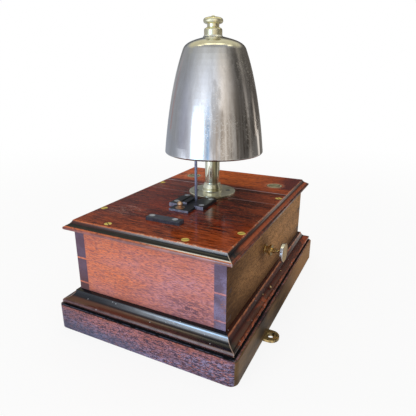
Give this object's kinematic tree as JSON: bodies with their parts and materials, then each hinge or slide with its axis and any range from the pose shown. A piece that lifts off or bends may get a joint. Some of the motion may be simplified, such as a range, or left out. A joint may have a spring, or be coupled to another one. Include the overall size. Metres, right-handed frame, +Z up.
{
  "type": "railway block bell",
  "caption": "Single-stroke electric bell on a dovetailed mahogany case: bell on a post, swinging hammer below it, push tapper in the side and a slide over the hammer's slot.",
  "frame": {"origin": "centre of the case's footprint, on the surface it stands on", "axes": "+X along the front towards the tapper side, +Y towards the back, +Z up"},
  "size_m": [0.249, 0.314, 0.3388],
  "materials": {
    "mahogany_base": "waxed, blotchy",
    "ebonised_wood": "glossy, rubbed at the edges",
    "mahogany_front": "worn varnish",
    "mahogany_side": "worn varnish",
    "polished_lid": "high gloss french polish",
    "plain_wood": "unfinished",
    "worn_brass": "dull, tarnished",
    "lacquered_brass": "satin",
    "spring_brass": "satin",
    "plunger_disc": "worn, bright rim",
    "steel_screw": "worn bright",
    "bright_steel": "polished",
    "dark_steel": "blued",
    "plated_bell": "polished, lightly pitted",
    "black_iron": "black japan, satin",
    "soft_iron": "plain",
    "ebonite": "satin black",
    "red_fibre": "matte",
    "silk_wire": "close-wound silk covering",
    "cotton_wire": "braided cotton"
  },
  "bodies": {
    "case": {"base_board": "mahogany_base", "base_screws": "steel_screw", "plinth_front": "ebonised_wood", "plinth_back": "ebonised_wood", "plinth_left": "ebonised_wood", "plinth_right": "ebonised_wood", "case_front": "mahogany_front", "case_back": "mahogany_front", "case_left": "mahogany_side", "case_right": "mahogany_side", "lid_front": "polished_lid", "lid_middle": "polished_lid", "lid_back": "polished_lid", "lid_screws": "worn_brass", "cover_cups": "worn_brass", "cover_screws": "worn_brass", "cover_blocks": "plain_wood", "fixing_lugs": "worn_brass", "lug_screws": "worn_brass", "bell_post": "lacquered_brass", "post_nut": "lacquered_brass", "post_screws": "dark_steel", "bell": "plated_bell", "bell_washer": "red_fibre", "crown_washer": "bright_steel", "thumb_nut": "lacquered_brass", "guide_rail_left": "black_iron", "guide_rail_right": "black_iron", "stop_bar": "black_iron", "fitting_screws": "steel_screw", "pivot_pin": "bright_steel", "pivot_bracket": "lacquered_brass", "stop_screw": "lacquered_brass", "stop_locknut": "lacquered_brass", "return_spring": "dark_steel", "magnet_frame": "black_iron", "magnet_cores": "soft_iron", "coil_bobbins": "ebonite", "coil_windings": "silk_wire", "movement_screws": "lacquered_brass", "block_screws": "lacquered_brass", "plunger_bush": "lacquered_brass", "contact_block": "ebonite", "contact_blade": "spring_brass", "contact_anvil": "spring_brass", "terminal_block": "ebonite", "terminals": "lacquered_brass", "leads": "cotton_wire"},
    "hammer": {"hammer_rod": "dark_steel", "hammer_head": "lacquered_brass", "hammer_lever": "lacquered_brass", "armature": "soft_iron", "armature_screws": "steel_screw"},
    "plunger": {"plunger_rod": "lacquered_brass", "plunger_knob": "plunger_disc", "plunger_collar": "lacquered_brass"},
    "slide": {"slide_plate": "black_iron", "slide_knob": "worn_brass"}
  },
  "joints": [
    {"name": "hammer_swing", "type": "hinge", "parent": "case", "child": "hammer", "pos_m": [0, -0.02617, 0.0425], "axis": [1, 0, 0], "range_deg": [0, 1.52], "stiffness_Nm_per_rad": 0.15, "springref_deg": -3.44, "deforming": ["return_spring"]},
    {"name": "tapper_press", "type": "slide", "parent": "case", "child": "plunger", "axis": [-1, 0, 0], "range_m": [0, 0.005], "stiffness_N_per_m": 300, "springref_m": -0.002, "deforming": ["contact_blade"]},
    {"name": "slide_travel", "type": "slide", "parent": "case", "child": "slide", "axis": [0, -1, 0], "range_m": [0, 0.0265]}
  ]
}
